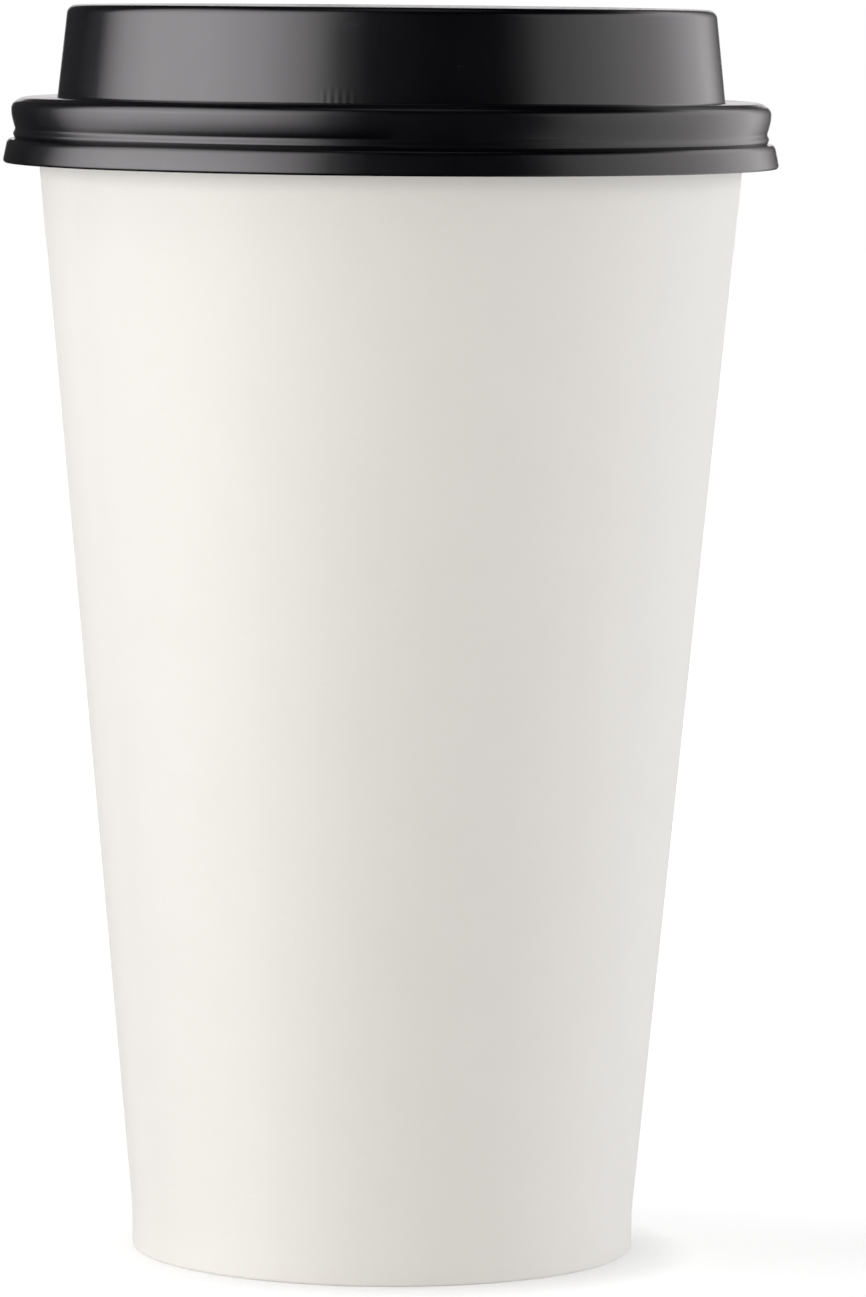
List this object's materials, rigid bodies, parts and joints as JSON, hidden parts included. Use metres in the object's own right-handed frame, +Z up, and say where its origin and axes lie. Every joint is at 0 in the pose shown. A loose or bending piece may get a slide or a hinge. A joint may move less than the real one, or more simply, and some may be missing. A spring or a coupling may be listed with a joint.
{
  "type": "paper coffee cup",
  "caption": "Tall tapered single-wall paper hot cup with rolled rim and folded foot, closed by a black press-on travel lid with a sip hole.",
  "frame": {"origin": "on the floor at the middle of the foot", "axes": "+Z up along the cup's axis, -Y to the front, where the sip hole is; the board's lap is at the back, +Y"},
  "size_m": [0.093, 0.093, 0.1496],
  "materials": {
    "board": "uncoated off-white paper board with a thin lining inside",
    "lid_plastic": "glossy black formed polystyrene sheet"
  },
  "bodies": {
    "cup": {"cup_sidewall": "board", "cup_bottom": "board"},
    "lid": {"lid": "lid_plastic"}
  },
  "joints": [
    {"name": "lid_lift", "type": "slide", "parent": "cup", "child": "lid", "axis": [0, 0, 1], "range_m": [0, 0.04]}
  ]
}
